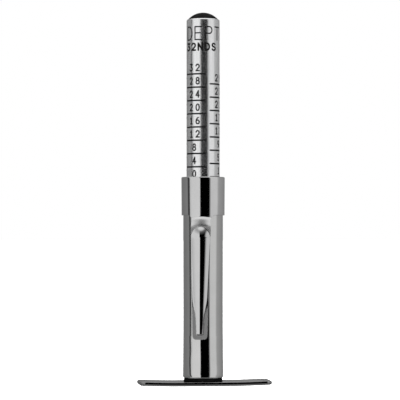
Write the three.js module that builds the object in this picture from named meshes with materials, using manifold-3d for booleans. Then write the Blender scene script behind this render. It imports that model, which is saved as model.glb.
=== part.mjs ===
// Pencil-type tyre tread depth gauge. Millimetres, +Z up.
// The origin lies in the foot's underside, on the axis of the barrel and the plunger.
// The foot bar lies along X, and the pocket clip faces roughly -Y.
// The gauge stands at zero: the plunger is fully out and the probe's tip is level with the foot.

import * as THREE from 'three';
import { mergeVertices } from 'three/addons/utils/BufferGeometryUtils.js';
import Module from 'manifold-3d';

const wasm = await Module();
wasm.setup();

// ---------- driving dimensions ----------

const INCH = 25.4;
const ROUND = 48; // facets around the large turned pieces
const FIT = 0.03; // radial play of a pressed or seated fit
const SEAT = 0.02; // gap between faces that sit on each other
const TRAVEL = 24.6; // plunger stroke, which brings the last scale line level with the collar
const STOP_GAP = 0.05; // left between piston and base plug at full stroke

// foot bar
const FOOT_LENGTH = 31.9;
const FOOT_SHIFT = 0.3; // from the barrel's axis to the middle of the bar, along X
const FOOT_WIDTH = 9.5;
const FOOT_THICKNESS = 1.0;
const FOOT_CORNER = 0.8; // corner radius in plan
const FOOT_EDGE = 0.25; // rounding of the long edges
const FOOT_BOW = 0.27; // rise of both ends
const FOOT_FLAT = 10; // length of the flat middle

// neck washer between foot and barrel
const NECK_BOTTOM_RADIUS = 4.68;
const NECK_TOP_RADIUS = 4.58;
const NECK_STEP = 0.3; // height of the taper from one to the other

// barrel
const BARREL_RADIUS = (3 / 8) * INCH / 2;
const BARREL_BORE = 4.36; // bore radius
const BARREL_BOTTOM = 1.9;
const BARREL_TOP = 49.0;
const BARREL_FLARE = 0.13; // gain in radius at the lower end
const FLARE_TOP = 24; // height where the flare starts
const BARREL_CORNER = 0.35; // rolled lower edge
const BARREL_LIP = 0.45; // height of the inward lip at the lower end
const BARREL_LIP_RADIUS = 3.95;

// base plug, staked through the foot
const STAKE_RADIUS = 2.2;
const STAKE_HEAD_RADIUS = 2.6;
const STAKE_HEAD_HEIGHT = 0.45;
const STAKE_RECESS = 0.05; // the staked head ends this far inside the foot's underside
const GUIDE_BORE = 1.25;

// collar with the tab that carries the clip
const COLLAR_BOTTOM = 40.8;
const COLLAR_TOP = 50.0;
const COLLAR_TOP_RADIUS = 5.225;
const COLLAR_BOTTOM_RADIUS = 5.165;
const COLLAR_BORE = 4.8;
const COLLAR_CORNER = 0.2;
const COLLAR_LIP = 0.45; // thickness of the turned-in top
const COLLAR_MOUTH = 4.12; // radius of the opening in the turned-in top

// pocket clip, in its own frame: out from the axis, and up
const CLIP_TURN = THREE.MathUtils.degToRad(-12.3); // clip's direction from -Y, about Z
const CLIP_SHEET = 0.36;
const CLIP_TIP = 11.2; // height of the tip
const CLIP_TIP_OUT = 5.24; // outer face of the flange at the tip
const CLIP_HEAD = 38.05; // height where the flange starts below the shoulder
const CLIP_HEAD_OUT = 6.1; // outer face of the flange there
const SHOULDER_RADIUS = 3.5; // the arm curves out of the collar's tab over this shoulder
const SHOULDER_ANGLE = 42.5; // degrees
const CLIP_SPLIT_GAP = 0.05; // between the tab and the arm, which flexes about this line
const CLIP_ROOT_WIDTH = 4.6;
const CLIP_HEAD_WIDTH = 4.8;
const CLIP_TIP_WIDTH = 3.5;
const CLIP_TIP_CORNER = 0.8;
const TIP_LEAN = -0.3; // sideways shift of the tip, because the arm isn't quite in line with the barrel
const TAB_FILLET = 1.2; // radius where the tab's sides meet the collar's lower edge
const CROWN_RADIUS = 2.8; // radius of the pressed crown along the clip
const CROWN_END = 12.2; // height where the crown runs out
const CROWN_HEAD = 36.2; // height of the rounded head's centre
const CROWN_RISE = 0.95; // crown height above the flange at the head

// mouth bush under the collar's turned-in top
const BUSH_BORE = 4.03;
const BUSH_FLANGE = 0.48;
const BUSH_BOTTOM = 40.05;

// plunger: scale tube, end button, piston and probe
const TUBE_RADIUS = (5 / 16) * INCH / 2;
const TUBE_BORE = 3.52;
const TUBE_BOTTOM = 39.97;
const TUBE_TOP = 87.95;
const TUBE_CURL = 0.38; // rounding of the rim, which is spun inwards
const TUBE_RIM_BORE = 3.29;
const TUBE_RIM = 0.5; // height of the spun rim
const BUTTON_RADIUS = 3.6;
const BUTTON_RISE = 1.65;
const BUTTON_NECK_RADIUS = 3.25;
const BUTTON_STEM = 4; // depth of the stem in the tube
const PISTON_RADIUS = 4.28;
const PISTON_LENGTH = 3.95;
const PISTON_SPIGOT = 5; // length inside the tube
const GROOVE_RADIUS = 3.3;
const GROOVE_WIDTH = 1.6;
const RING_SECTION = 0.48; // friction ring, section radius
const PROBE_RADIUS = (3 / 32) * INCH / 2;
const PROBE_TIP_CHAMFER = 0.2;
const PROBE_SOCKET = 6; // depth of the probe in the piston

// worked out from the above
const FOOT_TOP = FOOT_THICKNESS;
const NECK_BOTTOM = FOOT_TOP + SEAT;
const NECK_TOP = BARREL_BOTTOM - SEAT;
const PISTON_TOP = TUBE_BOTTOM - SEAT;
const PISTON_BOTTOM = PISTON_TOP - PISTON_LENGTH;
const PLUG_TOP = PISTON_BOTTOM - TRAVEL - STOP_GAP;
const RING_RADIUS = (GROOVE_RADIUS + BARREL_BORE) / 2;
const CLIP_SPLIT = CLIP_HEAD + SHOULDER_RADIUS * Math.sin(THREE.MathUtils.degToRad(SHOULDER_ANGLE));

// ---------- finishes ----------

const finish = (color, metalness, roughness) =>
    new THREE.MeshStandardMaterial({ color, metalness, roughness });
const chrome = () => finish(0xc9c9c7, 1.0, 0.08);
const satinAluminium = () => finish(0xd4d6d6, 1.0, 0.35);
const blackPlastic = () => finish(0x0b0b0d, 0.0, 0.3);
const whiteNylon = () => finish(0xe4e2da, 0.0, 0.5);
const turnedBrass = () => finish(0xb5924c, 1.0, 0.35);
const steel = () => finish(0xa8a9ab, 1.0, 0.25);
const rubber = () => finish(0x141414, 0.0, 0.8);

// ---------- geometry helpers ----------

// Points of an arc in the radius-height plane, in degrees anticlockwise from the outward direction.
function arc(r, z, radius, from, to, steps = 4) {
    return Array.from({ length: steps + 1 }, (_, i) => {
        const angle = THREE.MathUtils.degToRad(from + (to - from) * i / steps);
        return [r + radius * Math.cos(angle), z + radius * Math.sin(angle)];
    });
}

// A turned solid from an anticlockwise outline in radius and height.
function turned(outline, segments = ROUND) {
    const points = outline.map(([r, z]) => new THREE.Vector2(r, z));
    if (outline[0][0] > 0) {
        points.push(points[0].clone());
    }
    return new THREE.LatheGeometry(points, segments).rotateX(Math.PI / 2);
}

// A prism along Y from an outline in x and z.
function prismAlongY(shape, halfDepth, options = {}) {
    const depth = 2 * halfDepth;
    const geometry = new THREE.ExtrudeGeometry(shape, { depth, bevelEnabled: false, ...options });
    return geometry.rotateX(Math.PI / 2).translate(0, halfDepth, 0);
}

// A prism along X from an outline in distance out from the axis, towards -Y, and z.
function prismAlongX(shape, halfDepth) {
    const depth = 2 * halfDepth;
    const outwards = new THREE.Vector3(0, -1, 0);
    const up = new THREE.Vector3(0, 0, 1);
    const across = new THREE.Vector3(-1, 0, 0);
    return new THREE.ExtrudeGeometry(shape, { depth, bevelEnabled: false })
        .applyMatrix4(new THREE.Matrix4().makeBasis(outwards, up, across))
        .translate(halfDepth, 0, 0);
}

const outlineOf = (points) => new THREE.Shape(points.map(([x, y]) => new THREE.Vector2(x, y)));

function toSolid(geometry) {
    const plain = geometry.clone();
    plain.deleteAttribute('normal');
    plain.deleteAttribute('uv');
    const merged = mergeVertices(plain, 1e-5);
    return new wasm.Manifold(new wasm.Mesh({
        numProp: 3,
        vertProperties: Float32Array.from(merged.attributes.position.array),
        triVerts: Uint32Array.from(merged.index.array),
    }));
}

function toGeometry(solid) {
    const { numProp, vertProperties, triVerts } = solid.getMesh();
    const geometry = new THREE.BufferGeometry();
    const positions = new THREE.Float32BufferAttribute((vertProperties.length / numProp) * 3, 3);
    for (let i = 0; i < positions.count; i++) {
        positions.setXYZ(i, ...vertProperties.subarray(i * numProp, i * numProp + 3));
    }
    geometry.setAttribute('position', positions);
    geometry.setIndex(new THREE.Uint32BufferAttribute(triVerts, 1));
    geometry.computeVertexNormals();
    return geometry;
}

function piece(name, geometry, material) {
    const mesh = new THREE.Mesh(geometry, material);
    mesh.name = name;
    return mesh;
}

// ---------- foot, neck and barrel ----------

function roundedRectangle(length, width, radius) {
    const [x, y] = [length / 2 - radius, width / 2 - radius];
    const shape = new THREE.Shape();
    shape.absarc(x, y, radius, 0, Math.PI / 2);
    shape.absarc(-x, y, radius, Math.PI / 2, Math.PI);
    shape.absarc(-x, -y, radius, Math.PI, 1.5 * Math.PI);
    shape.absarc(x, -y, radius, 1.5 * Math.PI, 2 * Math.PI);
    return shape;
}

// A flat bar with rounded corners and long edges. Its two ends rise by FOOT_BOW.
function footBar() {
    const half = FOOT_LENGTH / 2;
    const flat = FOOT_FLAT / 2;
    const steps = 5;
    const stations = Array.from({ length: steps + 1 }, (_, i) => flat + (half - flat) * i / steps);
    const places = [...stations.map((x) => -x).reverse(), ...stations];
    const bow = (x) => FOOT_BOW * (Math.max(Math.abs(x) - flat, 0) / (half - flat)) ** 2;
    const underside = places.map((x) => [x, bow(x)]);
    const upperside = places.map((x) => [x, bow(x) + FOOT_THICKNESS]).reverse();
    const bar = toSolid(prismAlongY(outlineOf([...underside, ...upperside]), FOOT_WIDTH / 2 - FOOT_EDGE, {
        bevelEnabled: true,
        bevelThickness: FOOT_EDGE,
        bevelSize: FOOT_EDGE,
        bevelOffset: -FOOT_EDGE,
        bevelSegments: 3,
    }));
    const [trimX, trimY] = [-0.01, 0.02]; // keep the cut's faces apart from the bar's own
    const [below, above] = [-1, FOOT_THICKNESS + 1]; // the cutters reach past the bar on both sides
    const plan = new THREE.ExtrudeGeometry(
        roundedRectangle(FOOT_LENGTH + trimX, FOOT_WIDTH + trimY, FOOT_CORNER),
        { depth: above - below, bevelEnabled: false, curveSegments: 8 },
    ).translate(0, 0, below);
    const hole = turned([
        [0, below],
        [STAKE_HEAD_RADIUS + FIT, below],
        [STAKE_HEAD_RADIUS + FIT, FIT],
        [STAKE_RADIUS + FIT, STAKE_HEAD_HEIGHT + FIT],
        [STAKE_RADIUS + FIT, above],
        [0, above],
    ]);
    return toGeometry(bar.intersect(toSolid(plan)).translate(FOOT_SHIFT, 0, 0).subtract(toSolid(hole)));
}

function neckWasher() {
    return turned([
        [STAKE_RADIUS + FIT, NECK_BOTTOM],
        [NECK_BOTTOM_RADIUS, NECK_BOTTOM],
        [NECK_TOP_RADIUS, NECK_BOTTOM + NECK_STEP],
        [NECK_TOP_RADIUS, NECK_TOP],
        [STAKE_RADIUS + FIT, NECK_TOP],
    ]);
}

function basePlug() {
    const neckRadius = BARREL_LIP_RADIUS - FIT;
    const bodyRadius = BARREL_BORE - FIT;
    const shoulder = BARREL_BOTTOM + BARREL_LIP + SEAT;
    const chamfer = 0.4;
    return turned([
        [GUIDE_BORE, STAKE_RECESS],
        [STAKE_HEAD_RADIUS, STAKE_RECESS],
        [STAKE_RADIUS, STAKE_HEAD_HEIGHT],
        [STAKE_RADIUS, BARREL_BOTTOM],
        [neckRadius, BARREL_BOTTOM],
        [neckRadius, shoulder],
        [bodyRadius, shoulder],
        [bodyRadius, PLUG_TOP - chamfer],
        [bodyRadius - chamfer, PLUG_TOP],
        [GUIDE_BORE, PLUG_TOP],
    ]);
}

function barrel() {
    const flare = (z) => BARREL_RADIUS + BARREL_FLARE * ((FLARE_TOP - z) / FLARE_TOP) ** 2;
    const steps = 4;
    const cornerTop = BARREL_BOTTOM + BARREL_CORNER;
    const skirt = Array.from({ length: steps }, (_, i) => {
        const z = cornerTop + (FLARE_TOP - cornerTop) * (i + 1) / steps;
        return [flare(z), z];
    });
    const corner = arc(flare(cornerTop) - BARREL_CORNER, cornerTop, BARREL_CORNER, -90, 0);
    return turned([
        [BARREL_LIP_RADIUS, BARREL_BOTTOM],
        ...corner,
        ...skirt,
        [BARREL_RADIUS, BARREL_TOP],
        [BARREL_BORE, BARREL_TOP],
        [BARREL_BORE, BARREL_BOTTOM + BARREL_LIP],
        [BARREL_LIP_RADIUS, BARREL_BOTTOM + BARREL_LIP],
    ]);
}

function mouthBush() {
    const flangeBottom = BARREL_TOP + SEAT;
    return turned([
        [BUSH_BORE, BUSH_BOTTOM],
        [BARREL_BORE - FIT, BUSH_BOTTOM],
        [BARREL_BORE - FIT, flangeBottom],
        [BARREL_RADIUS, flangeBottom],
        [BARREL_RADIUS, flangeBottom + BUSH_FLANGE],
        [BUSH_BORE, flangeBottom + BUSH_FLANGE],
    ]);
}

// ---------- collar and pocket clip, facing -Y in their own frame ----------

// The tab and the arm seen from the front: wide at the head, narrower at the tip with two round
// corners, and flowing into the collar's lower edge with a fillet on each side.
function clipOutline() {
    const [root, head] = [CLIP_ROOT_WIDTH / 2, CLIP_HEAD_WIDTH / 2];
    const [left, right] = [TIP_LEAN - CLIP_TIP_WIDTH / 2, TIP_LEAN + CLIP_TIP_WIDTH / 2];
    const filletBottom = COLLAR_BOTTOM - TAB_FILLET;
    const top = COLLAR_BOTTOM + 1; // above everything that is cut with this outline
    const halfDepth = 5;
    const shape = new THREE.Shape();
    shape.moveTo(root + TAB_FILLET, top);
    shape.lineTo(-root - TAB_FILLET, top);
    shape.absarc(-root - TAB_FILLET, filletBottom, TAB_FILLET, Math.PI / 2, 0, true);
    shape.lineTo(-head, CLIP_HEAD);
    shape.lineTo(left, CLIP_TIP + CLIP_TIP_CORNER);
    shape.quadraticCurveTo(left, CLIP_TIP, left + CLIP_TIP_CORNER, CLIP_TIP);
    shape.lineTo(right - CLIP_TIP_CORNER, CLIP_TIP);
    shape.quadraticCurveTo(right, CLIP_TIP, right, CLIP_TIP + CLIP_TIP_CORNER);
    shape.lineTo(head, CLIP_HEAD);
    shape.absarc(root + TAB_FILLET, filletBottom, TAB_FILLET, Math.PI, Math.PI / 2, true);
    return toSolid(prismAlongY(shape, halfDepth).translate(0, -halfDepth, 0));
}

function collar() {
    const lipBottom = COLLAR_TOP - COLLAR_LIP;
    const band = turned([
        [COLLAR_BORE, COLLAR_BOTTOM],
        [COLLAR_BOTTOM_RADIUS, COLLAR_BOTTOM],
        ...arc(COLLAR_TOP_RADIUS - COLLAR_CORNER, COLLAR_TOP - COLLAR_CORNER, COLLAR_CORNER, 0, 90, 3),
        [COLLAR_MOUTH, COLLAR_TOP],
        [COLLAR_MOUTH, lipBottom],
        [COLLAR_BORE, lipBottom],
    ]);
    const tabBottom = CLIP_SPLIT + CLIP_SPLIT_GAP;
    const tabTop = COLLAR_BOTTOM + 0.5; // inside the band, which it is joined to
    const skirt = turned([
        [COLLAR_BORE, tabBottom],
        [COLLAR_BOTTOM_RADIUS, tabBottom],
        [COLLAR_BOTTOM_RADIUS, tabTop],
        [COLLAR_BORE, tabTop],
    ]);
    const tab = toSolid(skirt).intersect(clipOutline());
    return toGeometry(toSolid(band).add(tab));
}

// The sheet seen from the side: out from the tab over a round shoulder, then down the flange.
function clipSide(inset) {
    const centre = CLIP_HEAD_OUT - SHOULDER_RADIUS;
    const shoulder = arc(centre, CLIP_HEAD, SHOULDER_RADIUS - inset, SHOULDER_ANGLE, 0, 6);
    return [...shoulder, [CLIP_TIP_OUT - inset, CLIP_TIP]];
}

// A round-ended bar whose crest runs from the flange's face at CROWN_END up to the head.
function crownBar(radius) {
    const flangeSlope = (CLIP_HEAD_OUT - CLIP_TIP_OUT) / (CLIP_HEAD - CLIP_TIP);
    const headFace = CLIP_TIP_OUT + flangeSlope * (CROWN_HEAD - CLIP_TIP);
    const lean = (z) => TIP_LEAN * (CLIP_HEAD - z) / (CLIP_HEAD - CLIP_TIP);
    const head = new THREE.Vector3(lean(CROWN_HEAD), CROWN_RADIUS - headFace - CROWN_RISE, CROWN_HEAD);
    const endFace = CLIP_TIP_OUT + flangeSlope * (CROWN_END - CLIP_TIP);
    const end = new THREE.Vector3(lean(CROWN_END), CROWN_RADIUS - endFace, CROWN_END);
    const along = head.clone().sub(end);
    const capsule = new THREE.CapsuleGeometry(radius, along.length(), 6, 32);
    const turn = new THREE.Quaternion().setFromUnitVectors(
        new THREE.Vector3(0, 1, 0), along.clone().normalize());
    return capsule.applyQuaternion(turn).translate(...head.add(end).multiplyScalar(0.5));
}

function clipArm() {
    const wide = CLIP_HEAD_WIDTH;
    const outer = clipSide(0);
    const inner = clipSide(CLIP_SHEET).reverse();
    const sheet = toSolid(prismAlongX(outlineOf([...outer, ...inner].reverse()), wide));
    const front = CLIP_HEAD_OUT + 4; // beyond the crown's crest
    const inFront = [...inner, [front, CLIP_SPLIT], [front, CLIP_TIP]];
    const ahead = toSolid(prismAlongX(outlineOf(inFront.reverse()), wide));
    const crown = toSolid(crownBar(CROWN_RADIUS)).intersect(ahead);
    const hollow = toSolid(crownBar(CROWN_RADIUS - CLIP_SHEET));
    return toGeometry(sheet.add(crown).intersect(clipOutline()).subtract(hollow));
}

// ---------- plunger ----------

// A tube whose upper rim is spun inwards over the button's groove.
function scaleTube() {
    return turned([
        [TUBE_BORE, TUBE_BOTTOM],
        [TUBE_RADIUS, TUBE_BOTTOM],
        ...arc(TUBE_RADIUS - TUBE_CURL, TUBE_TOP - TUBE_CURL, TUBE_CURL, 0, 90),
        [TUBE_RIM_BORE, TUBE_TOP],
        [TUBE_RIM_BORE, TUBE_TOP - TUBE_RIM],
        [TUBE_BORE, TUBE_TOP - TUBE_RIM],
    ]);
}

// A shallow dome over a grooved stem that snaps under the tube's rim.
function endButton() {
    const base = TUBE_TOP + SEAT;
    const rise = BUTTON_RISE - SEAT;
    const sphere = (BUTTON_RADIUS ** 2 + rise ** 2) / (2 * rise);
    const edge = THREE.MathUtils.radToDeg(Math.asin((sphere - rise) / sphere));
    const dome = arc(0, base + rise - sphere, sphere, edge, 90, 6);
    dome[dome.length - 1][0] = 0;
    const grooveBottom = TUBE_TOP - TUBE_RIM - FIT;
    return turned([
        [0, TUBE_TOP - BUTTON_STEM],
        [TUBE_BORE - FIT, TUBE_TOP - BUTTON_STEM],
        [TUBE_BORE - FIT, grooveBottom],
        [BUTTON_NECK_RADIUS, grooveBottom],
        [BUTTON_NECK_RADIUS, base],
        ...dome,
    ]);
}

// Closes the tube's lower end, holds the probe and carries the friction ring in a groove.
function piston() {
    const land = (PISTON_LENGTH - GROOVE_WIDTH) / 2;
    const socket = PROBE_RADIUS + FIT;
    const socketTop = PISTON_BOTTOM + PROBE_SOCKET + SEAT;
    return turned([
        [0, socketTop],
        [socket, socketTop],
        [socket, PISTON_BOTTOM],
        [PISTON_RADIUS, PISTON_BOTTOM],
        [PISTON_RADIUS, PISTON_BOTTOM + land],
        [GROOVE_RADIUS, PISTON_BOTTOM + land],
        [GROOVE_RADIUS, PISTON_TOP - land],
        [PISTON_RADIUS, PISTON_TOP - land],
        [PISTON_RADIUS, PISTON_TOP],
        [TUBE_BORE - FIT, PISTON_TOP],
        [TUBE_BORE - FIT, PISTON_TOP + PISTON_SPIGOT],
        [0, PISTON_TOP + PISTON_SPIGOT],
    ]);
}

function probe() {
    return turned([
        [0, 0],
        [PROBE_RADIUS - PROBE_TIP_CHAMFER, 0],
        [PROBE_RADIUS, PROBE_TIP_CHAMFER],
        [PROBE_RADIUS, PISTON_BOTTOM + PROBE_SOCKET],
        [0, PISTON_BOTTOM + PROBE_SOCKET],
    ], 32);
}

function frictionRing() {
    const height = PISTON_BOTTOM + PISTON_LENGTH / 2;
    return new THREE.TorusGeometry(RING_RADIUS, RING_SECTION, 10, ROUND).translate(0, 0, height);
}

// ---------- assembly ----------

const base = new THREE.Group();
base.add(
    piece('foot_bar', footBar(), chrome()),
    piece('neck_washer', neckWasher(), blackPlastic()),
    piece('base_plug', basePlug(), turnedBrass()),
    piece('barrel', barrel(), chrome()),
    piece('mouth_bush', mouthBush(), whiteNylon()),
);

const clip = new THREE.Group();
clip.rotation.z = CLIP_TURN;
clip.add(
    piece('clip_collar', collar(), chrome()),
    piece('clip_arm', clipArm(), chrome()),
);

const plunger = new THREE.Group();
plunger.add(
    piece('scale_tube', scaleTube(), satinAluminium()),
    piece('end_button', endButton(), blackPlastic()),
    piece('piston', piston(), turnedBrass()),
    piece('probe_pin', probe(), steel()),
    piece('friction_ring', frictionRing(), rubber()),
);

const gauge = new THREE.Group();
gauge.name = 'tread_depth_gauge';
gauge.add(base, clip, plunger);

export default gauge;
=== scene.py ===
# Pencil-type tyre tread depth gauge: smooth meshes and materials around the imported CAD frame.
# Lengths are in millimetres until a mesh is written, which is in metres. +Z is up, the foot lies
# along X, and places that the frame knows are read from it.

import math

import bpy
import numpy as np
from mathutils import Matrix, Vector


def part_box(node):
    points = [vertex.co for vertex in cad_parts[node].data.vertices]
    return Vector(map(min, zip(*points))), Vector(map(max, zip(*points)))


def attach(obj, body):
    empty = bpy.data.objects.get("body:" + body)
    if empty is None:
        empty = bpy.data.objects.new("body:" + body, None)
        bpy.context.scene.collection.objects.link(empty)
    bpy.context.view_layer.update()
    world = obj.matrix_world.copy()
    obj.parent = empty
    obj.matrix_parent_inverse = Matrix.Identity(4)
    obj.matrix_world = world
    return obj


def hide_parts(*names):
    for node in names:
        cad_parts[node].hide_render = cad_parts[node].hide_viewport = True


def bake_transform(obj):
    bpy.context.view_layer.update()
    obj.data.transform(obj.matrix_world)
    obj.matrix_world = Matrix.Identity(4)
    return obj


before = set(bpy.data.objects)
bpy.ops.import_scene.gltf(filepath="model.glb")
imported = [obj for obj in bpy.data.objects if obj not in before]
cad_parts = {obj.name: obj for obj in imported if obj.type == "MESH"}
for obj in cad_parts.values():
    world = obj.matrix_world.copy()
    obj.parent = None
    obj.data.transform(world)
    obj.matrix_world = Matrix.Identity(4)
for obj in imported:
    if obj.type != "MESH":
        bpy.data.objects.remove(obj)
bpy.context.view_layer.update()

MM = 0.001  # metres in a millimetre
INCH = 25.4
AROUND = 240  # columns round a turned piece


# ---------- measures read from the frame ----------

def extent(node):
    """Outer radius, bottom and top of a turned CAD node."""
    low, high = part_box(node)
    return high.x / MM, low.z / MM, high.z / MM


FOOT_LOW, FOOT_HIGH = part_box("foot_bar")
FOOT_HALF_LENGTH, FOOT_HALF_WIDTH, _ = (FOOT_HIGH - FOOT_LOW) / 2 / MM
FOOT_MIDDLE = (FOOT_HIGH.x + FOOT_LOW.x) / 2 / MM
NECK_RADIUS, NECK_BOTTOM, NECK_TOP = extent("neck_washer")
_, BARREL_BOTTOM, BARREL_TOP = extent("barrel")
PLUG_RADIUS, PLUG_BOTTOM, PLUG_TOP = extent("base_plug")
BUSH_RADIUS, BUSH_BOTTOM, BUSH_TOP = extent("mouth_bush")
COLLAR_RADIUS, _, COLLAR_TOP = extent("clip_collar")
TUBE_RADIUS, TUBE_BOTTOM, TUBE_TOP = extent("scale_tube")
BUTTON_RADIUS, BUTTON_BOTTOM, BUTTON_TOP = extent("end_button")
PISTON_RADIUS, PISTON_BOTTOM, SPIGOT_TOP = extent("piston")
PROBE_RADIUS, PROBE_TIP, PROBE_TOP = extent("probe_pin")
RING_OUT, RING_BOTTOM, RING_TOP = extent("friction_ring")
CLIP_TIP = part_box("clip_arm")[0].z / MM
CLIP_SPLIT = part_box("clip_arm")[1].z / MM

# ---------- details inside those measures ----------

FOOT_THICKNESS = 1.0
FOOT_CORNER = 1.5  # corner radius in plan
FOOT_BOW = 0.27  # rise of both ends
FOOT_FLAT = 10.0  # length of the flat middle
FOOT_TOP_EDGE = (0.05, 0.4)  # rounding of the upper edge, along the sides and at the ends
FOOT_LOW_EDGE = (0.6, 0.4)  # the same for the lower edge
END_SATIN_SHADE_TURN = (0.05, 0.35)  # the edge is satin, and painted darker as painted shade, where its normal turns so far towards the ends
FOOT_COLUMNS = 480  # round the outline
FOOT_STEPS = 7  # from the hole to the outline
STAKE_RADIUS = 2.2
STAKE_HEAD = 2.6
STAKE_HEAD_HEIGHT = 0.45
FIT = 0.03  # gap between pieces that fit into each other
REST = 0.02  # gap under a face that rests on another
BARREL_RADIUS = 3 / 16 * INCH
BARREL_BORE = 4.36
BARREL_FLARE = 0.13  # gain in radius at the lower end
FLARE_TOP = 24.0  # height where the flare ends
LIP_RADIUS = 3.95  # the barrel's inward lip at its lower end
LIP_HEIGHT = 0.45
GUIDE_BORE = 1.25
BUSH_BORE = 4.03
BUSH_FLANGE = 0.48
COLLAR_HEIGHT = 9.2
COLLAR_TAPER = 0.06  # loss in radius from the collar's top to its lower edge
COLLAR_MOUTH = 4.12
COLLAR_LIP = 0.45
COLLAR_CORNER = 0.25  # rounding of the upper edge
SHEET = 0.365  # thickness of the collar and clip sheet
TUBE_BORE = 3.52
TUBE_CURL = 0.38  # rounding of the upper rim
TUBE_RIM = 0.5  # thickness of the rim that is spun inwards
TUBE_RIM_BORE = 3.29
BUTTON_NECK = 3.25
PISTON_LENGTH = 3.95
GROOVE_RADIUS = 3.3
GROOVE_WIDTH = 1.6

# clip, in its own frame: x across, out from the axis, and height
CLIP_TURN = math.radians(-12.3)  # about the gauge's axis, from the front of the foot
CLIP_HEAD = 38.05  # height where the shoulder ends and the flange starts
CLIP_HEAD_OUT = 6.1  # outer face of the flange at that height
CLIP_TIP_OUT = 5.24  # and at the tip
BEND_STEEP = (5.2, 40.4, 0.84)  # out, height and slope of the bend just below the collar
BEND_GENTLE = (5.58, 39.9, 0.325)  # the same for the gentler slope below it
BEND_SOFTNESS = 0.06  # where the two slopes meet
SHOULDER_SOFTNESS = 0.12  # where the gentler slope meets the flange
WALL_SOFTNESS = 0.03  # where the steeper slope leaves the collar's wall
ROOT_HALF, HEAD_HALF, TIP_HALF = 2.3, 2.4, 1.75  # half widths at the collar, the shoulder and the tip
TIP_CORNER = 0.8
CLIP_COLUMNS = 57
BACK_STEPS = 100  # round the collar, from one side of the tab to the other
ARM_STEPS = (27, 59, 11)  # rows down to the crown's head, along the crown, and on towards the tip
TAB_FILLET = 1.2  # corner between the collar's lower edge and the tab
BEND_ARCH = 0.05  # how far the bend's lines drop towards the sides, in mm per square mm
TIP_LEAN = -0.3  # sideways, against the middle of the tab
CROWN_END = 12.2
CROWN_END_FACE = (0.15, 3.0)  # the blunt end starts so far above CROWN_END, and has this slope
CROWN_HEAD = 35.4  # height where the rounded head starts
CROWN_HEAD_LENGTH = 2.85
# Half of the crown's width at its end and at its head. The crown takes the first pair's straight
# taper above its waist, and the second pair's below it.
CROWN_UPPER = (1.34, 2.33)
CROWN_LOWER = (0.8, 1.85)
CROWN_WAIST = (16.0, 21.3)  # heights between which the broad part turns into the narrow one
CROWN_CREST = (0.6, 1.65)  # the smaller, the sharper the crest; at the end and at the head
CREST_GAIN = 0.6  # below 1, the crest blunts quickly above the end
CROWN_FLANK = 0.7  # slope that the flanks come close to
CROWN_ROOT = 0.04  # softness of the line where the crown leaves the flange
# The clip's satin places are also painted slightly darker, as painted shade.
SATIN_LOW = (17.0, 20.0)  # the flange beside the crown is satin below the first of these heights
SATIN_HIGH = (34.5, 35.5)  # and again above the second of these
SATIN_BEND = 0.35  # how satin the bend is, as a share of the flange
SATIN_ROUGHNESS = 0.42

# printed scale
SCALE_ZERO = 49.2  # height of the zero line
SCALE_PITCH = INCH / 32
SCALE_LINES = 32
COLUMN_TURNS = [-40.7, 58.8, 146.0, 233.0]  # degrees from -Y towards +X
LINE_HALF_ARC = 40.0
LINE_WIDTH = 0.4
DIGIT_WIDTH, DIGIT_HEIGHT, DIGIT_STROKE = 0.78, 1.52, 0.35
DIGIT_PITCH = 26.4  # degrees between the two digits of a label
LABEL_RISE = 0.76  # from a line's centre to its label's baseline
LABEL_SHIFT = 1.2  # degrees
# Two lines of words above the scale: text, degrees of the first letter and from one letter to the
# next, height of the baseline, letter width and height, stroke width.
WORDS = [
    ("DEPTH", -61, 37, 82.8, 1.7, 3.1, 0.33),
    ("32NDS INCH", -67, 25, 80.3, 0.95, 1.6, 0.46),
]
INK_RISE = 0.012  # thickness of the ink


# ---------- mesh helpers ----------

def make_object(name, points, faces, material):
    """A smooth-shaded mesh object from points in millimetres."""
    mesh = bpy.data.meshes.new(name)
    mesh.from_pydata([tuple(p) for p in np.asarray(points) * MM], [], faces)
    mesh.validate()
    mesh.shade_smooth()
    mesh.materials.append(material)
    piece = bpy.data.objects.new(name, mesh)
    bpy.context.scene.collection.objects.link(piece)
    return piece


def weigh_normals(piece):
    """Lets the large faces set the shading, so that flats stay flat beside small rounded edges."""
    modifier = piece.modifiers.new("weighted_normals", "WEIGHTED_NORMAL")
    modifier.weight = 80
    modifier.keep_sharp = True


def mark(piece, name, values):
    """Stores a number at each point of a mesh, for its material."""
    attribute = piece.data.attributes.new(name, "FLOAT", "POINT")
    attribute.data.foreach_set("value", np.asarray(values, np.float32))


def grid_faces(rows, columns, close_rows=False, close_columns=True):
    """Quads of a grid whose point (row, column) has the index row * columns + column."""
    faces = []
    for i in range(rows if close_rows else rows - 1):
        for j in range(columns if close_columns else columns - 1):
            i2, j2 = (i + 1) % rows, (j + 1) % columns
            faces.append((i * columns + j, i * columns + j2, i2 * columns + j2, i2 * columns + j))
    return faces


def curve_points(centre, radii, start, end, steps):
    """Points of an elliptical arc, in degrees anticlockwise."""
    angles = np.radians(np.linspace(start, end, steps + 1))
    return np.asarray(centre) + np.column_stack([radii[0] * np.cos(angles), radii[1] * np.sin(angles)])


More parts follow.
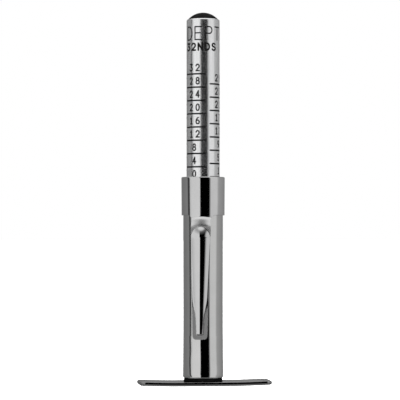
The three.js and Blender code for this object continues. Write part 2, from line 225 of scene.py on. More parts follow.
def eased(corners, closed, steps=5):
    """Rounds the corners of an outline. A corner is (r, z) or (r, z, rounding)."""
    outline = []
    count = len(corners)
    for k, corner in enumerate(corners):
        here = np.array(corner[:2], float)
        rounding = corner[2] if len(corner) == 3 else 0.0
        if rounding == 0 or (not closed and k in (0, count - 1)):
            outline.append(here)
            continue
        before = np.array(corners[k - 1][:2], float) - here
        after = np.array(corners[(k + 1) % count][:2], float) - here
        before /= np.linalg.norm(before)
        after /= np.linalg.norm(after)
        half = math.acos(np.clip(before @ after, -1, 1)) / 2
        reach = rounding / math.tan(half)
        middle = before + after
        middle *= rounding / math.sin(half) / np.linalg.norm(middle)
        first, last = before * reach - middle, after * reach - middle
        for t in np.linspace(0, 1, steps + 1):
            spoke = first * (1 - t) + last * t
            outline.append(here + middle + spoke * rounding / np.linalg.norm(spoke))
    return outline


def turned(name, corners, material, body, *nodes, columns=AROUND, slot=None):
    """A lathe from an anticlockwise outline in radius and height, closed or with its ends on the axis."""
    closed = corners[0][0] > 0
    outline = eased(corners, closed)
    angles = 2 * math.pi * np.arange(columns) / columns
    points, first = [], []
    for r, z in outline:
        first.append(len(points))
        if r < 1e-6:
            points.append((0, 0, z))
        else:
            points.extend(zip(r * np.cos(angles), r * np.sin(angles), [z] * columns))
    faces = []
    for k in range(len(outline) if closed else len(outline) - 1):
        low, high = first[k], first[(k + 1) % len(outline)]
        for j in range(columns):
            j2 = (j + 1) % columns
            if outline[k][0] < 1e-6:
                faces.append((low, high + j2, high + j))
            elif outline[(k + 1) % len(outline)][0] < 1e-6:
                faces.append((low + j, low + j2, high))
            else:
                faces.append((low + j, low + j2, high + j2, high + j))
    piece = make_object(name, points, faces, material)
    weigh_normals(piece)
    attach(piece, body)
    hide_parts(*nodes)


# ---------- materials ----------

class Shader:
    """A principled material and short calls for the nodes that give it detail."""

    def __init__(self, name, metallic, roughness):
        self.material = bpy.data.materials.new(name)
        self.material.use_nodes = True
        self.nodes = self.material.node_tree.nodes
        self.links = self.material.node_tree.links
        self.surface = self.nodes["Principled BSDF"]
        self.surface.inputs["Metallic"].default_value = metallic
        self.surface.inputs["Roughness"].default_value = roughness
        self.place = self.nodes.new("ShaderNodeTexCoord").outputs["Object"]

    def noise(self, scale, stretch=(1, 1, 1), detail=3.0, roughness=0.5):
        """Noise with so many features per metre, scaled along each axis by stretch."""
        mapping = self.nodes.new("ShaderNodeMapping")
        mapping.inputs["Scale"].default_value = stretch
        texture = self.nodes.new("ShaderNodeTexNoise")
        texture.inputs["Scale"].default_value = scale
        texture.inputs["Detail"].default_value = detail
        texture.inputs["Roughness"].default_value = roughness
        self.links.new(self.place, mapping.inputs["Vector"])
        self.links.new(mapping.outputs["Vector"], texture.inputs["Vector"])
        return texture.outputs["Fac"]

    def ramp(self, value, stops):
        """Maps a value through (position, grey or colour) stops."""
        ramp = self.nodes.new("ShaderNodeValToRGB")
        set_stops(ramp, stops)
        self.links.new(value, ramp.inputs["Fac"])
        return ramp.outputs["Color"]

    def maths(self, operation, a, b):
        node = self.nodes.new("ShaderNodeMath")
        node.operation = operation
        self.links.new(a, node.inputs[0])
        self.links.new(b, node.inputs[1])
        return node.outputs["Value"]

    def height(self, low, high):
        """0 at one height and 1 at another, in millimetres."""
        split = self.nodes.new("ShaderNodeSeparateXYZ")
        share = self.nodes.new("ShaderNodeMapRange")
        share.inputs["From Min"].default_value = low * MM
        share.inputs["From Max"].default_value = high * MM
        self.links.new(self.place, split.inputs["Vector"])
        self.links.new(split.outputs["Z"], share.inputs["Value"])
        return share.outputs["Result"]

    def attribute(self, name):
        """A number stored at the mesh's points."""
        node = self.nodes.new("ShaderNodeAttribute")
        node.attribute_name = name
        return node.outputs["Fac"]

    def colour(self, value):
        self.links.new(value, self.surface.inputs["Base Color"])

    def roughness(self, value):
        self.links.new(value, self.surface.inputs["Roughness"])

    def bump(self, height, distance, strength=1.0):
        """Adds a bump of so many millimetres on top of those before it."""
        bump = self.nodes.new("ShaderNodeBump")
        bump.inputs["Strength"].default_value = strength
        bump.inputs["Distance"].default_value = distance * MM
        self.links.new(height, bump.inputs["Height"])
        normal = self.surface.inputs["Normal"]
        if normal.links:
            self.links.new(normal.links[0].from_socket, bump.inputs["Normal"])
        self.links.new(bump.outputs["Normal"], normal)


def set_stops(ramp, stops):
    elements = ramp.color_ramp.elements
    while len(elements) < len(stops):
        elements.new(0.5)
    for element, (position, tone) in zip(elements, stops):
        element.position = position
        element.color = (*tone, 1) if isinstance(tone, tuple) else (tone, tone, tone, 1)


def chrome(name):
    """Nickel chrome: bright, with faint handling marks."""
    shader = Shader(name, 1.0, 0.06)
    clouds = shader.noise(260, detail=4)
    shader.colour(shader.ramp(clouds, [(0.3, (0.655, 0.655, 0.65)), (0.7, (0.695, 0.695, 0.69))]))
    smears = shader.noise(420, (1, 1, 0.25), detail=5, roughness=0.6)
    shader.roughness(shader.ramp(smears, [(0.35, 0.05), (0.75, 0.12)]))
    shader.bump(shader.noise(9000, (1, 1, 0.06), detail=2), 0.0006)
    return shader


def barrel_chrome():
    """Chrome with a slight ripple, stronger where the lower end was flared."""
    shader = chrome("chrome_barrel")
    shader.bump(shader.noise(170, (1, 1, 0.55), detail=0), 0.02)
    flared = shader.ramp(shader.height(BARREL_BOTTOM, FLARE_TOP / 2), [(0.0, 1.0), (1.0, 0.0)])
    shader.bump(shader.maths("MULTIPLY", shader.noise(140, (1, 1, 1.2), detail=0), flared), 0.3)
    return shader.material


def dulled_chrome(name, attribute, tone):
    """Chrome that is satin, and has painted shade that makes it darker by a factor, where a mesh's
    attribute says so.
    """
    shader = chrome(name)
    satin_and_shade = shader.attribute(attribute)
    satin = shader.ramp(satin_and_shade, [(0.0, 0.0), (1.0, SATIN_ROUGHNESS)])
    # painted shade: the base colour is multiplied down towards the tone where the attribute is high
    painted_shade = shader.ramp(satin_and_shade, [(0.0, 1.0), (1.0, tone)])
    polish = shader.surface.inputs["Roughness"].links[0].from_socket
    bright = shader.surface.inputs["Base Color"].links[0].from_socket
    shader.roughness(shader.maths("ADD", polish, satin))
    shader.colour(shader.maths("MULTIPLY", bright, painted_shade))
    return shader.material


def satin_aluminium():
    """Drawn aluminium with fine lengthwise brushing, under a thin milky skin of oxide."""
    shader = Shader("satin_aluminium", 0.98, 0.22)
    streaks = shader.noise(5200, (1, 1, 0.02), detail=3)
    shader.colour(shader.ramp(streaks, [(0.3, (0.88, 0.885, 0.89)), (0.7, (0.94, 0.945, 0.95))]))
    shader.roughness(shader.ramp(shader.noise(1500, (1, 1, 0.1), detail=4), [(0.3, 0.17), (0.7, 0.26)]))
    shader.bump(streaks, 0.003)
    return shader.material


def black_plastic():
    """Moulded black plastic with a faint skin texture."""
    shader = Shader("black_plastic", 0.0, 0.5)
    shader.surface.inputs["Specular IOR Level"].default_value = 0.02
    shader.colour(shader.ramp(shader.noise(900, detail=4), [(0.3, 0.002), (0.7, 0.005)]))
    shader.roughness(shader.ramp(shader.noise(2600, detail=4), [(0.3, 0.42), (0.7, 0.6)]))
    shader.bump(shader.noise(9000, detail=3), 0.003)
    return shader.material


def printing_ink():
    """Black ink, a little thin in places."""
    shader = Shader("printing_ink", 0.0, 0.6)
    shader.surface.inputs["Specular IOR Level"].default_value = 0.05
    shader.colour(shader.ramp(shader.noise(3800, detail=4), [(0.35, 0.003), (0.8, 0.01)]))
    shader.roughness(shader.ramp(shader.noise(5200), [(0.3, 0.5), (0.7, 0.7)]))
    return shader.material


def white_nylon():
    shader = Shader("white_nylon", 0.0, 0.45)
    shader.colour(shader.ramp(shader.noise(500), [(0.3, (0.70, 0.68, 0.62)), (0.7, (0.80, 0.79, 0.74))]))
    shader.bump(shader.noise(7000), 0.004)
    return shader.material


def turned_metal(name, dark, light, roughness):
    """Turned metal: fine rings left by the tool, and patches of tarnish."""
    shader = Shader(name, 1.0, roughness)
    shader.colour(shader.ramp(shader.noise(700, detail=5), [(0.3, dark), (0.7, light)]))
    shader.roughness(shader.ramp(shader.noise(1600), [(0.3, roughness - 0.06), (0.7, roughness + 0.1)]))
    shader.bump(shader.noise(2600, (0.05, 0.05, 4), detail=1), 0.004)
    return shader.material


def rubber():
    shader = Shader("rubber", 0.0, 0.7)
    shader.colour(shader.ramp(shader.noise(1400), [(0.3, 0.012), (0.7, 0.03)]))
    shader.bump(shader.noise(8000), 0.008)
    return shader.material


# ---------- foot bar ----------

def foot_outline():
    """Points round the bar in plan, evenly spaced, anticlockwise from the +X side."""
    x, y = FOOT_HALF_LENGTH - FOOT_CORNER, FOOT_HALF_WIDTH - FOOT_CORNER
    corners = [(x, y, 0), (-x, y, 90), (-x, -y, 180), (x, -y, 270)]
    arcs = [curve_points((cx, cy), (FOOT_CORNER,) * 2, a, a + 90, 24) for cx, cy, a in corners]
    outline = np.vstack([*arcs, arcs[0][:1]])
    steps = np.r_[0, np.cumsum(np.linalg.norm(np.diff(outline, axis=0), axis=1))]
    even = np.linspace(0, steps[-1], FOOT_COLUMNS, endpoint=False)
    return np.column_stack([np.interp(even, steps, outline[:, k]) for k in (0, 1)])


def foot_section(top_edge, low_edge):
    """(share from hole to outline, inset from the outline, height, hole radius) round the bar's section.
    The edges' roundings differ from column to column."""
    hole, head = STAKE_RADIUS + FIT, STAKE_HEAD + FIT
    top = [(share, top_edge, FOOT_THICKNESS, hole) for share in np.linspace(0, 1, FOOT_STEPS)]
    upper = [(1, inset, z, hole) for inset, z in edge_arc(top_edge, FOOT_THICKNESS, 90, 0)]
    lower = [(1, inset, z, hole) for inset, z in edge_arc(low_edge, 0, 0, -90)]
    under = [(share, low_edge, 0, head) for share in np.linspace(1, 0, FOOT_STEPS)]
    sink = [(0, 0, STAKE_HEAD_HEIGHT, hole)]
    return top + upper[1:] + lower + under[1:] + sink


def edge_arc(radius, face, start, end):
    """(inset, height) of a rounded edge whose flat face is at a height. The radius may be an array."""
    centre = face - radius if start == 90 else face + radius
    arc = curve_points((0, 0), (1, 1), start, end, 8)
    return [(radius * (1 - x), centre + radius * z) for x, z in arc]


def foot_bar(material):
    plan = foot_outline()
    ahead = np.roll(plan, -1, axis=0) - np.roll(plan, 1, axis=0)
    outward = np.column_stack([ahead[:, 1], -ahead[:, 0]])
    outward /= np.linalg.norm(outward, axis=1)[:, None]
    spokes = plan / np.linalg.norm(plan, axis=1)[:, None]
    at_end = np.abs(outward[:, 0])
    edges = [np.interp(at_end, [0, 1], edge)[:, None] for edge in (FOOT_TOP_EDGE, FOOT_LOW_EDGE)]
    rows, satin_shade_ends = [], []
    for share, inset, height, hole in foot_section(*edges):
        # satin and painted shade: the mask is high on the rim where the edge turns towards the ends
        satin_shade_ends.append(smooth_step(at_end, *END_SATIN_SHADE_TURN) * smooth_step(share, 0.9, 1))
        rim = plan - outward * inset + (FOOT_MIDDLE, 0)
        flat = spokes * hole * (1 - share) + rim * share
        reach = np.abs(flat[:, 0] - FOOT_MIDDLE) - FOOT_FLAT / 2
        beyond = np.maximum(reach, 0) / (FOOT_HALF_LENGTH - FOOT_FLAT / 2)
        rise = (FOOT_BOW * beyond ** 2)[:, None]
        rows.append(np.hstack([flat, rise + height]))
    faces = grid_faces(len(rows), FOOT_COLUMNS, close_rows=True)
    piece = make_object("foot_bar_smooth", np.vstack(rows), [f[::-1] for f in faces], material)
    mark(piece, "satin_shade_ends", np.concatenate(satin_shade_ends))
    weigh_normals(piece)
    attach(piece, "housing")
    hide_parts("foot_bar")


# ---------- neck, barrel and what it holds ----------

def neck_washer(material):
    bore = STAKE_RADIUS + FIT
    corners = [
        (bore, NECK_BOTTOM),
        (NECK_RADIUS, NECK_BOTTOM, 0.1),
        (NECK_RADIUS - 0.1, NECK_TOP, 0.12),
        (bore, NECK_TOP),
    ]
    turned("neck_washer_smooth", corners, material, "housing", "neck_washer", slot="black_plastic")


def base_plug(material):
    neck, body = LIP_RADIUS - FIT, PLUG_RADIUS
    shoulder = BARREL_BOTTOM + LIP_HEIGHT + REST
    corners = [
        (GUIDE_BORE, PLUG_BOTTOM, 0.1),
        (STAKE_HEAD, PLUG_BOTTOM, 0.05),
        (STAKE_RADIUS, STAKE_HEAD_HEIGHT),
        (STAKE_RADIUS, BARREL_BOTTOM),
        (neck, BARREL_BOTTOM, 0.05),
        (neck, shoulder),
        (body, shoulder, 0.1),
        (body, PLUG_TOP - 0.4, 0.05),
        (body - 0.4, PLUG_TOP, 0.05),
        (GUIDE_BORE, PLUG_TOP, 0.2),
    ]
    turned("base_plug_smooth", corners, material, "housing", "base_plug", slot="brass")


def skirt_radius(z):
    """The barrel widens slightly towards its lower end."""
    return BARREL_RADIUS + BARREL_FLARE * max(0, (FLARE_TOP - z) / FLARE_TOP) ** 2


def barrel(material):
    corner = 0.35
    heights = np.linspace(BARREL_BOTTOM + 1, FLARE_TOP, 14)
    corners = [
        (LIP_RADIUS, BARREL_BOTTOM, 0.08),
        (skirt_radius(BARREL_BOTTOM), BARREL_BOTTOM, corner),
        *[(skirt_radius(z), z) for z in heights],
        (BARREL_RADIUS, BARREL_TOP, 0.08),
        (BARREL_BORE, BARREL_TOP, 0.08),
        (BARREL_BORE, BARREL_BOTTOM + LIP_HEIGHT),
        (LIP_RADIUS, BARREL_BOTTOM + LIP_HEIGHT),
    ]
    turned("barrel_smooth", corners, material, "housing", "barrel", slot="chrome")


def mouth_bush(material):
    sleeve = BARREL_BORE - FIT
    flange = BUSH_TOP - BUSH_FLANGE
    corners = [
        (BUSH_BORE, BUSH_BOTTOM, 0.1),
        (sleeve, BUSH_BOTTOM, 0.1),
        (sleeve, flange),
        (BUSH_RADIUS, flange, 0.05),
        (BUSH_RADIUS, BUSH_TOP, 0.05),
        (BUSH_BORE, BUSH_TOP, 0.12),
    ]
    turned("mouth_bush_smooth", corners, material, "housing", "mouth_bush", slot="nylon")


# ---------- collar and clip: one sheet ----------

def smooth_step(value, low, high):
    t = np.clip((value - low) / (high - low), 0, 1)
    return t * t * (3 - 2 * t)


def smooth_max(a, b, softness):
    return (a + b + np.sqrt((a - b) ** 2 + softness ** 2)) / 2


def smooth_min(a, b, softness):
    return -smooth_max(-a, -b, softness)


def flange_out(z):
    """Outer face of the sheet on its middle line: two slopes of the bend, then the flange to the tip."""
    slope = (CLIP_HEAD_OUT - CLIP_TIP_OUT) / (CLIP_HEAD - CLIP_TIP)
    flange = CLIP_HEAD_OUT - slope * (CLIP_HEAD - z)
    steep, gentle = (out + (height - z) * fall for out, height, fall in (BEND_STEEP, BEND_GENTLE))
    return smooth_min(smooth_min(steep, gentle, BEND_SOFTNESS), flange, SHOULDER_SOFTNESS)


def collar_out(z):
    return COLLAR_RADIUS - COLLAR_TAPER * np.clip((COLLAR_TOP - z) / COLLAR_HEIGHT, 0, 1.2)


def sheet_out(x, z):
    """Outer face of the plain sheet: round like the collar above, flat like the flange below."""
    wall = collar_out(z)
    middle = smooth_max(wall, flange_out(z + BEND_ARCH * x ** 2), WALL_SOFTNESS)
    roundness = smooth_step(z, CLIP_HEAD - 0.6, CLIP_SPLIT + 0.1)
    return middle - roundness * (wall - np.sqrt(wall ** 2 - x ** 2))


def crown_out(x, z):
    """Outer face of the pressed crown: wide with a round head above, narrow with a blunt end below."""
    along = np.clip((z - CROWN_END) / (CROWN_HEAD - CROWN_END), 0, 1)
    upper, lower = (end + (head - end) * along for end, head in (CROWN_UPPER, CROWN_LOWER))
    half = lower + (upper - lower) * smooth_step(z, *CROWN_WAIST)
    end, head = CROWN_CREST
    crest = end + (head - end) * along ** CREST_GAIN
    beyond = np.maximum(z - CROWN_HEAD, 0) * CROWN_UPPER[1] / CROWN_HEAD_LENGTH
    depth = np.sqrt(crest ** 2 + half ** 2) - np.sqrt(crest ** 2 + x ** 2 + beyond ** 2)
    above, slope = CROWN_END_FACE
    end_face = slope * np.maximum(CROWN_END + above - z, 0)
    return flange_out(np.minimum(z, CROWN_HEAD)) + CROWN_FLANK * depth - end_face


def clip_out(x, z):
    return smooth_max(sheet_out(x, z), crown_out(x, z), CROWN_ROOT)


def half_width(z):
    """Half of the clip's width, with the tip's two corners rounded."""
    straight = np.where(
        z > CLIP_HEAD,
        np.interp(z, [CLIP_HEAD, COLLAR_TOP - COLLAR_HEIGHT - TAB_FILLET], [HEAD_HALF, ROOT_HALF]),
        np.interp(z, [CLIP_TIP, CLIP_HEAD], [TIP_HALF, HEAD_HALF]),
    )
    below = np.clip(CLIP_TIP + TIP_CORNER - z, 0, TIP_CORNER)
    return straight - TIP_CORNER + np.sqrt(TIP_CORNER ** 2 - below ** 2)


def spread(count, bunching=0.35):
    """Positions from -1 to 1, closer together towards both ends."""
    t = np.linspace(-1, 1, count)
    return (1 - bunching) * t + bunching * np.sin(t * math.pi / 2)


def collar_columns():
    """(x, lowest height) of the columns left of the tab, on it and right of it."""
    edge = COLLAR_TOP - COLLAR_HEIGHT
    tab = [(share * ROOT_HALF, edge - TAB_FILLET) for share in spread(CLIP_COLUMNS)]
    bend = np.radians(np.linspace(0, 90, 9)[1:])
    reach = ROOT_HALF + TAB_FILLET * (1 - np.cos(bend))
    right = list(zip(reach, edge - TAB_FILLET + TAB_FILLET * np.sin(bend)))
    left = [(-x, z) for x, z in reversed(right)]
    return left, tab, right


def collar_and_clip(material):
    """The collar's round band and the clip that grows out of its tab, as one sheet of metal."""
    edge = COLLAR_TOP - COLLAR_HEIGHT
    left, tab, right = collar_columns()
    front = left + tab + right
    angles = [math.asin(x / collar_out(edge)) for x, _ in front]
    lowest = [z for _, z in front]
    back = np.linspace(angles[-1], angles[0] + 2 * math.pi, BACK_STEPS + 1)[1:-1]
    angles = np.array(angles + list(back))
    lowest = np.array(lowest + [edge] * len(back))
    band_outer, band_inner = band_rows(angles, lowest)
    columns = len(angles)
    outer, inner = np.vstack(band_outer), np.vstack(band_inner)
    band = grid_faces(len(band_outer), columns)

    # the arm carries on from the tab's lowest row
    first = len(left)
    tab_columns = list(range(first, first + len(tab)))
    arm_outer, arm_inner = arm_rows()
    start = len(outer)
    outer = np.vstack([outer, *arm_outer])
    inner = np.vstack([inner, *arm_inner])
    count = len(tab)
    arm = [tuple(start + i for i in face)[::-1] for face in
           grid_faces(len(arm_outer), count, close_columns=False)]
    join = [(tab_columns[k], start + k, start + k + 1, tab_columns[k + 1]) for k in range(count - 1)]
    skin = band + arm + join
    return close_sheet("clip_sheet", outer, inner, skin, material)


def band_rows(angles, lowest):
    """Outer and inner rows of the collar, from its lower edge up over the turned-in lip."""
    outer, inner = [], []
    wall_top = COLLAR_TOP - COLLAR_CORNER
    # close together at first, where the sheet bends outwards
    for share in [*np.linspace(0, 0.1, 16), 0.13, 0.2, 0.35, 0.6, 0.85, 0.97, 1]:
        z = lowest + (wall_top - lowest) * share
        outer.append(front_or_band(angles, z))
        radius = COLLAR_RADIUS - COLLAR_TAPER - SHEET
        inner.append(inner_row(angles, z, radius))
    corner = curve_points((COLLAR_RADIUS - COLLAR_CORNER, wall_top), (COLLAR_CORNER,) * 2, 0, 90, 6)[1:]
    lip_inside = COLLAR_TOP - COLLAR_LIP
    for r, z in [*corner, (COLLAR_MOUTH + 0.05, COLLAR_TOP), (COLLAR_MOUTH, COLLAR_TOP)]:
        outer.append(ring(angles, r, z))
        inside = min(r, COLLAR_RADIUS - COLLAR_TAPER - SHEET)
        inner.append(ring(angles, inside, lip_inside))
    return outer, inner


def ring(angles, radius, z):
    return np.column_stack([radius * np.sin(angles), -radius * np.cos(angles), np.full(len(angles), z)])


def front_or_band(angles, z):
    """Points of the collar's outer face, which leaves the cylinder where the tab bends outwards."""
    wall = collar_out(z)
    x, y = wall * np.sin(angles), -wall * np.cos(angles)
    in_front = (np.abs(x) < ROOT_HALF + TAB_FILLET + 0.01) & (np.cos(angles) > 0)
    y = np.where(in_front, -sheet_out(np.where(in_front, x, 0), z), y)
    return np.column_stack([x, y, z])


def inner_row(angles, z, radius):
    outer = front_or_band(angles, z)
    wall = collar_out(z)
    plain = np.column_stack([radius * np.sin(angles), -radius * np.cos(angles), z])
    pushed = outer[:, 1] + wall * np.cos(angles)
    plain[:, 1] += pushed
    return plain


def lean(z):
    """Sideways shift of the arm, which isn't quite in line with the barrel."""
    return TIP_LEAN * np.clip((CLIP_HEAD - z) / (CLIP_HEAD - CLIP_TIP), 0, 1)


def arm_rows():
    """Outer and inner rows of the arm, from just under the tab down to the tip."""
    tab_end = COLLAR_TOP - COLLAR_HEIGHT - TAB_FILLET
    stages = [tab_end, CROWN_HEAD - 0.5, CROWN_END + 1.5, CLIP_TIP + TIP_CORNER]
    straight = [np.linspace(a, b, n + 1)[1:] for a, b, n in zip(stages, stages[1:], ARM_STEPS)]
    tip = CLIP_TIP + TIP_CORNER * (1 - np.sin(np.radians(np.linspace(0, 90, 9)[1:])))
    shares = spread(CLIP_COLUMNS)
    outer, inner = [], []
    for z in np.concatenate([*straight, tip]):
        x = shares * half_width(z)
        heights = np.full(len(x), z)
        outer.append(np.column_stack([x + lean(z), -clip_out(x, heights), heights]))
        inner.append(offset_inwards(x, heights))
    return outer, inner


def offset_inwards(x, z):
    """The sheet's inner face, one thickness behind the outer face along its normal."""
    step = 0.01
    slope_x = (clip_out(x + step, z) - clip_out(x - step, z)) / (2 * step)
    slope_z = (clip_out(x, z + step) - clip_out(x, z - step)) / (2 * step)
    length = np.sqrt(1 + slope_x ** 2 + slope_z ** 2)
    out = clip_out(x, z) - SHEET / length
    return np.column_stack([x + lean(z) + SHEET * slope_x / length, -out, z + SHEET * slope_z / length])


def close_sheet(name, outer, inner, skin, material):
    """Joins an outer and an inner skin along their free edges, and softens the edges."""
    count = len(outer)
    sides = {pair for face in skin for pair in zip(face, face[1:] + face[:1])}
    free = sorted((a, b) for a, b in sides if (b, a) not in sides)
    back = [tuple(i + count for i in face[::-1]) for face in skin]
    rim = [(b, a, a + count, b + count) for a, b in free]
    piece = make_object(name, np.vstack([outer, inner]), skin + back + rim, material)
    mark_satin(piece)
    smoothing = piece.modifiers.new("soft_edges", "SUBSURF")
    smoothing.levels = smoothing.render_levels = 1
    return piece


def mark_satin(piece):
    """Marks the points of the flat flange near the tip and near the bend, beside the crown. There the
    clip is satin, and painted slightly darker as painted shade.
    """
    places = np.array([vertex.co for vertex in piece.data.vertices]) / MM
    z = places[:, 2]
    x = places[:, 0] - lean(z)
    beside = smooth_step(sheet_out(x, z) - crown_out(x, z), -0.08, 0.04)
    over_flange = smooth_step(z, CLIP_HEAD, CLIP_HEAD + 0.4)
    near_tip = 1 - smooth_step(z, *SATIN_LOW)
    near_bend = smooth_step(z, *SATIN_HIGH) * (1 - over_flange)
    bend = over_flange * (1 - smooth_step(z, CLIP_SPLIT - 0.5, CLIP_SPLIT))
    mark(piece, "satin", np.maximum(beside * (near_tip + near_bend), SATIN_BEND * bend))


def apply_modifiers(piece):
    depsgraph = bpy.context.evaluated_depsgraph_get()
    mesh = bpy.data.meshes.new_from_object(piece.evaluated_get(depsgraph))
    piece.modifiers.clear()
    piece.data = mesh


def clip(material):
    piece = collar_and_clip(material)
    apply_modifiers(piece)
    piece.rotation_euler.z = CLIP_TURN
    bpy.context.view_layer.update()
    piece.data.shade_smooth()
    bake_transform(piece)
    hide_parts("clip_collar", "clip_arm")


# ---------- plunger ----------

def scale_tube(material):
    corners = [
        (TUBE_BORE, TUBE_BOTTOM, 0.05),
        (TUBE_RADIUS, TUBE_BOTTOM, 0.05),
        (TUBE_RADIUS, TUBE_TOP, TUBE_CURL),
        (TUBE_RIM_BORE, TUBE_TOP, 0.05),
        (TUBE_RIM_BORE, TUBE_TOP - TUBE_RIM, 0.05),
        (TUBE_BORE, TUBE_TOP - TUBE_RIM),
    ]
    turned("scale_tube_smooth", corners, material, "plunger", "scale_tube", slot="aluminium")


def end_button(material):
    base = TUBE_TOP + REST
    rise = BUTTON_TOP - base
    sphere = (BUTTON_RADIUS ** 2 + rise ** 2) / (2 * rise)
    edge = math.degrees(math.asin((sphere - rise) / sphere))
    dome = [tuple(p) for p in curve_points((0, BUTTON_TOP - sphere), (sphere, sphere), edge, 90, 20)]
    groove = TUBE_TOP - TUBE_RIM - FIT
    corners = [
        (0, BUTTON_BOTTOM),
        (TUBE_BORE - FIT, BUTTON_BOTTOM, 0.1),
        (TUBE_BORE - FIT, groove, 0.05),
        (BUTTON_NECK, groove),
        (BUTTON_NECK, base),
        (dome[0][0], dome[0][1], 0.03),
        *dome[1:-1],
        (0, BUTTON_TOP),
    ]
    turned("end_button_smooth", corners, material, "plunger", "end_button", slot="black_plastic")


def piston(material):
    top = PISTON_BOTTOM + PISTON_LENGTH
    land = (PISTON_LENGTH - GROOVE_WIDTH) / 2
    socket = PROBE_RADIUS + FIT
    corners = [
        (0, PROBE_TOP + REST),
        (socket, PROBE_TOP + REST),
        (socket, PISTON_BOTTOM, 0.1),
        (PISTON_RADIUS, PISTON_BOTTOM, 0.15),
        (PISTON_RADIUS, PISTON_BOTTOM + land, 0.08),
        (GROOVE_RADIUS, PISTON_BOTTOM + land, 0.08),
        (GROOVE_RADIUS, top - land, 0.08),
        (PISTON_RADIUS, top - land, 0.08),
        (PISTON_RADIUS, top, 0.15),
        (TUBE_BORE - FIT, top),
        (TUBE_BORE - FIT, SPIGOT_TOP, 0.3),
        (0, SPIGOT_TOP),
    ]
    turned("piston_smooth", corners, material, "plunger", "piston", slot="brass")


def probe_pin(material):
    corners = [
        (0, PROBE_TIP),
        (PROBE_RADIUS - 0.2, PROBE_TIP, 0.06),
        (PROBE_RADIUS, PROBE_TIP + 0.2, 0.1),
        (PROBE_RADIUS, PROBE_TOP, 0.1),
        (0, PROBE_TOP),
    ]
    turned("probe_pin_smooth", corners, material, "plunger", "probe_pin", columns=96, slot="steel")


def friction_ring(material):
    section = (RING_TOP - RING_BOTTOM) / 2
    middle = (RING_TOP + RING_BOTTOM) / 2
    loop = curve_points((RING_OUT - section, middle), (section, section), 0, 360, 24)[:-1]
    corners = [tuple(p) for p in loop]
    turned("friction_ring_smooth", corners, material, "grip", "friction_ring", slot="rubber")


# ---------- printed scale ----------

def bow(cx, cy, rx, ry, start, end):
    steps = max(4, int(abs(end - start) / 12))
    return [tuple(p) for p in curve_points((cx, cy), (rx, ry), start, end, steps)]


def glyphs():
    """Strokes of each character in a cell one unit wide and one unit high."""
    return {
        "0": [bow(0.5, 0.5, 0.5, 0.5, 0, 360)],
        "1": [[(0.22, 0.8), (0.55, 1), (0.55, 0)], [(0.2, 0), (0.9, 0)]],
        "2": [bow(0.48, 0.7, 0.5, 0.3, 165, -35) + [(0, 0), (1, 0)]],
        "3": [[(0.05, 1), (0.95, 1), (0.42, 0.58)] + bow(0.42, 0.29, 0.56, 0.29, 85, -150)],
        "4": [[(0.72, 0), (0.72, 1), (0, 0.3), (1, 0.3)]],
        "5": [[(0.92, 1), (0.12, 1), (0.06, 0.55)] + bow(0.45, 0.31, 0.53, 0.31, 130, -150)],
        "6": [bow(0.5, 0.29, 0.5, 0.29, 0, 360), bow(0.95, 0.32, 0.95, 0.68, 180, 105)],
        "7": [[(0, 1), (1, 1), (0.35, 0)]],
        "8": [bow(0.5, 0.77, 0.42, 0.23, 0, 360), bow(0.5, 0.27, 0.5, 0.27, 0, 360)],
        "9": [bow(0.5, 0.71, 0.5, 0.29, 0, 360), bow(0.05, 0.68, 0.95, 0.68, 0, -75)],
        "C": [bow(0.5, 0.5, 0.5, 0.5, 48, 312)],
        "D": [[(0.4, 0), (0, 0), (0, 1), (0.4, 1)], bow(0.4, 0.5, 0.6, 0.5, 90, -90)],
        "E": [[(0.95, 1), (0, 1), (0, 0), (0.95, 0)], [(0, 0.52), (0.8, 0.52)]],
        "H": [[(0, 0), (0, 1)], [(1, 0), (1, 1)], [(0, 0.5), (1, 0.5)]],
        "I": [[(0.5, 0), (0.5, 1)]],
        "N": [[(0, 0), (0, 1), (1, 0), (1, 1)]],
        "P": [[(0, 0), (0, 1), (0.6, 1)] + bow(0.6, 0.74, 0.4, 0.26, 90, -90)[1:] + [(0, 0.48)]],
        "S": [bow(0.5, 0.76, 0.46, 0.24, 25, 270)[:-1] + bow(0.5, 0.26, 0.5, 0.26, 90, -155)],
        "T": [[(0, 1), (1, 1)], [(0.5, 1), (0.5, 0)]],
    }


def smooth_runs(path, sharpest=32):
    """Splits a path at its corners, so that each run can be swept with round ends."""
    runs, run = [], [path[0]]
    for k in range(1, len(path)):
        run.append(path[k])
        if k == len(path) - 1:
            break
        a = np.subtract(path[k], path[k - 1])
        b = np.subtract(path[k + 1], path[k])
        turn = math.degrees(math.acos(np.clip(a @ b / np.linalg.norm(a) / np.linalg.norm(b), -1, 1)))
        if turn > sharpest:
            runs.append(run)
            run = [path[k]]
    return runs + [run]


def fine_steps(path, longest=0.15):
    """Adds points to a path, so that a straight stroke follows the round of the tube."""
    path = np.asarray(path, float)
    steps = [max(1, math.ceil(math.dist(a, b) / longest)) for a, b in zip(path, path[1:])]
    runs = [np.linspace(a, b, n + 1)[1:] for a, b, n in zip(path, path[1:], steps)]
    return np.vstack([path[:1], *runs])


